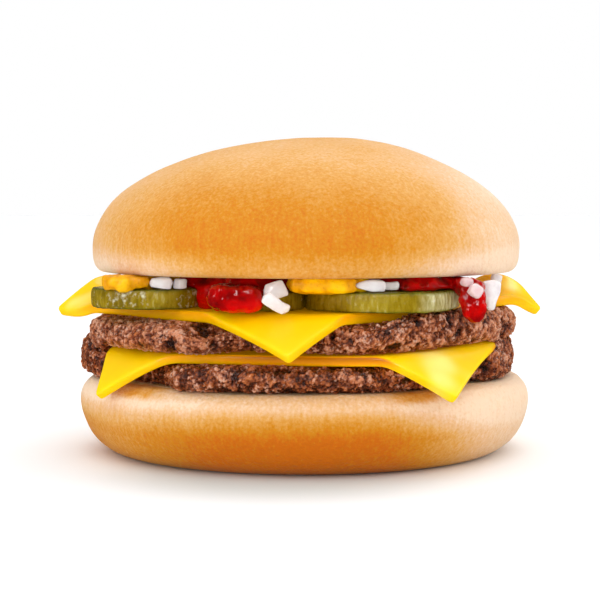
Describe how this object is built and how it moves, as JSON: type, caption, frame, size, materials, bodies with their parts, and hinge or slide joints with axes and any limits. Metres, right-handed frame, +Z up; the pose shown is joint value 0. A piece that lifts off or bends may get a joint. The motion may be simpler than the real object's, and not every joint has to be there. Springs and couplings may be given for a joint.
{
  "type": "double cheeseburger",
  "caption": "Cheeseburger stacked in a plain round bun, with beef patties, cheese slices, pickle chips, diced onion, ketchup and mustard, held and eaten by hand.",
  "frame": {"origin": "on the table, under the middle of the burger's box", "axes": "+Z up through the stack, -Y towards the front, where a corner of the upper cheese slice hangs down, +X to the right as seen from the front"},
  "size_m": [0.1115, 0.1085, 0.0706],
  "materials": {
    "bun": "golden baked crust, finely pored, paler at the rim",
    "beef": "browned ground beef, coarse and moist",
    "cheese": "smooth, soft sheen",
    "pickle": "wet, streaked skin",
    "ketchup": "wet",
    "mustard": "wet, slightly grainy",
    "onion": "wet and slightly clear"
  },
  "bodies": {
    "root": {"bun_bottom": "bun", "patty_lower": "beef", "cheese_lower": "cheese", "patty_upper": "beef", "cheese_upper": "cheese", "pickle_1": "pickle", "pickle_2": "pickle", "pickle_3": "pickle", "pickle_4": "pickle", "pickle_5": "pickle", "onion_1": "onion", "onion_2": "onion", "onion_3": "onion", "onion_4": "onion", "onion_5": "onion", "onion_6": "onion", "onion_7": "onion", "onion_8": "onion", "onion_9": "onion", "onion_10": "onion", "onion_11": "onion", "onion_12": "onion", "onion_13": "onion", "onion_14": "onion", "onion_15": "onion", "mustard": "mustard", "ketchup": "ketchup", "bun_top": "bun"}
  },
  "joints": []
}
